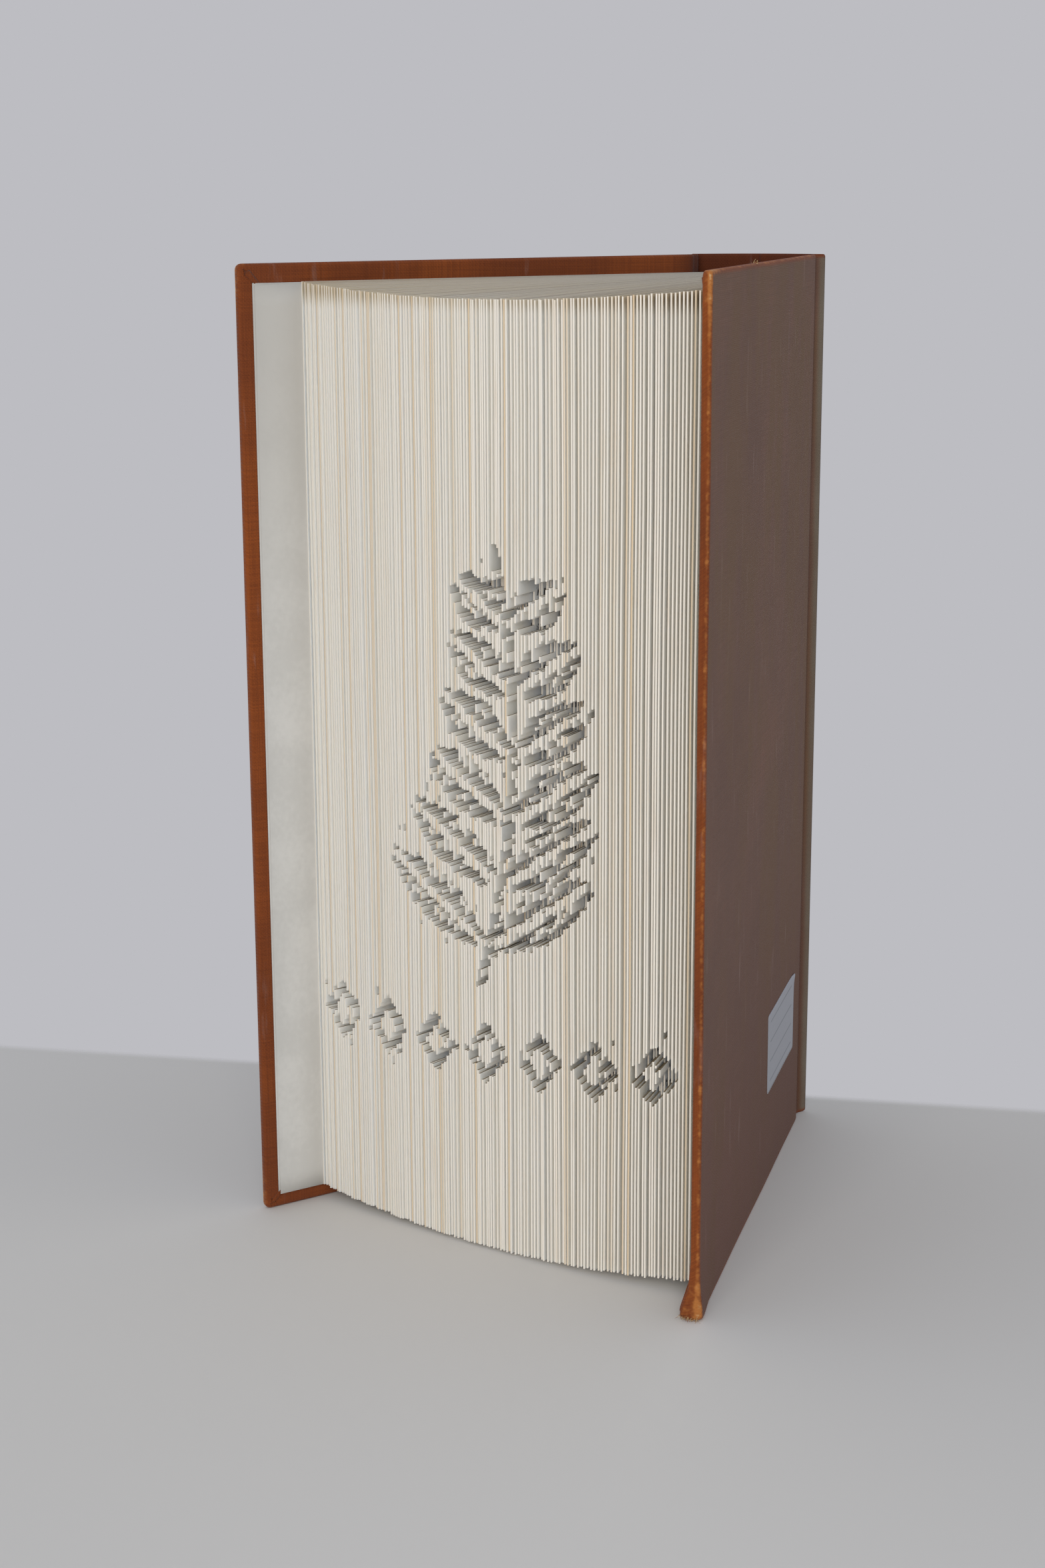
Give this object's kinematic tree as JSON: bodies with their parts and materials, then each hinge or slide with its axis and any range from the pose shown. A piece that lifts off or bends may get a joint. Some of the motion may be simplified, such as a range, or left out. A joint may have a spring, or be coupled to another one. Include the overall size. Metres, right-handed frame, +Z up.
{
  "type": "book",
  "caption": "Cloth-bound hardback book standing open on its tail, pages fanned between hinged covers, with a plain ornament cut into the leaf edges.",
  "frame": {"origin": "middle of the book's footprint, on the surface that it stands on", "axes": "+Z up along the spine from tail to head, +X across the spine from the front cover to the back cover, -Y towards the fore-edge; the back cover is parallel to Y and the front cover is turned 41.8 degrees open"},
  "size_m": [0.122, 0.1436, 0.235],
  "materials": {
    "page_paper": "matt, uncoated, yellowed at the edges",
    "lining_paper": "matt, glued cloth and paper",
    "board": "matt grey-brown millboard",
    "binding_cloth": "fine woven book cloth, worn paler at edges and corners",
    "endpaper": "matt, smooth",
    "label_paper": "smooth adhesive label"
  },
  "bodies": {
    "block": {"text_block": "page_paper", "spine_lining": "lining_paper", "spine_card": "board", "spine_cloth": "binding_cloth"},
    "front_cover": {"front_board": "board", "front_cover_cloth": "binding_cloth", "front_endpaper": "endpaper"},
    "back_cover": {"back_board": "board", "back_cover_cloth": "binding_cloth", "back_endpaper": "endpaper", "shelf_label": "label_paper"}
  },
  "joints": [
    {"name": "front_cover_hinge", "type": "hinge", "parent": "block", "child": "front_cover", "pos_m": [0.02583, 0.063, 0.1175], "axis": [0, 0, -1], "range_deg": [0, 135]},
    {"name": "back_cover_hinge", "type": "hinge", "parent": "block", "child": "back_cover", "pos_m": [0.06062, 0.063, 0.1175], "axis": [0, 0, 1], "range_deg": [0, 175]}
  ]
}
